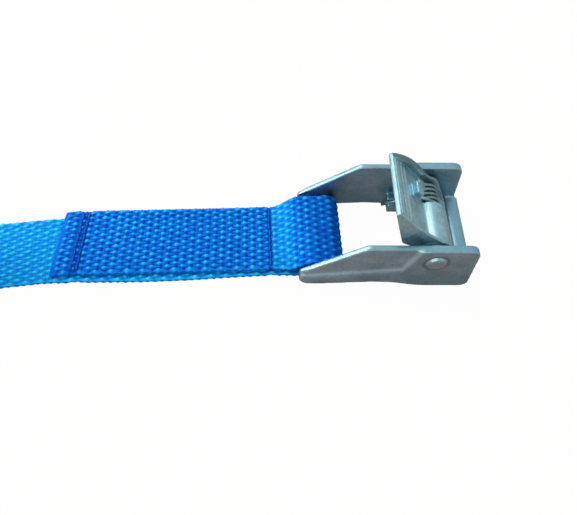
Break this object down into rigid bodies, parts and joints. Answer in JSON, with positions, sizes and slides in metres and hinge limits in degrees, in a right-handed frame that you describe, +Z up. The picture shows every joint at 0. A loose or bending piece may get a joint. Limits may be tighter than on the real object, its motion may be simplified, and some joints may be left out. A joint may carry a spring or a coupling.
{
  "type": "cam buckle tie down strap",
  "caption": "Cam buckle tie down: a die-cast buckle with a sprung toothed cam lever on the sewn end of blue woven webbing, the spare strap wound into a tied roll.",
  "frame": {"origin": "on the ground plane, under the middle of the buckle's bounding box without the strap", "axes": "+X to the buckle's front, where the cam grips the webbing; +Y to the side that carries the spring lug; +Z up, away from the ground the buckle lies on"},
  "size_m": [0.2483, 0.0478, 0.0723],
  "materials": {
    "casting": "zinc die casting, bluish passivated, satin with soft cast edges",
    "steel": "zinc plated steel, satin",
    "webbing": "woven polypropylene webbing, bright blue",
    "thread": "twisted polyester thread, darker blue",
    "tie": "black hook and loop tape, matt"
  },
  "bodies": {
    "frame": {"buckle_frame": "casting", "pivot_rivet": "steel", "torsion_spring": "steel"},
    "cam": {"cam_lever": "casting"},
    "strap": {"strap_eye": "webbing", "strap_lower_run": "webbing", "strap_sewn_tail": "webbing", "strap_lead": "webbing", "strap_roll": "webbing", "front_needle_thread": "thread", "front_bobbin_thread": "thread", "rear_needle_thread": "thread", "rear_bobbin_thread": "thread", "roll_tie": "tie"}
  },
  "joints": [
    {"name": "cam_press", "type": "hinge", "parent": "frame", "child": "cam", "pos_m": [0.0136, 0, 0.0151], "axis": [0, -1, 0], "range_deg": [0, 45], "stiffness_Nm_per_rad": 0.15, "springref_deg": -34.38, "deforming": ["torsion_spring"]},
    {"name": "strap_swing", "type": "hinge", "parent": "frame", "child": "strap", "pos_m": [-0.0188, 0, 0.0048], "axis": [0, 1, 0], "range_deg": [-100, 100]}
  ]
}
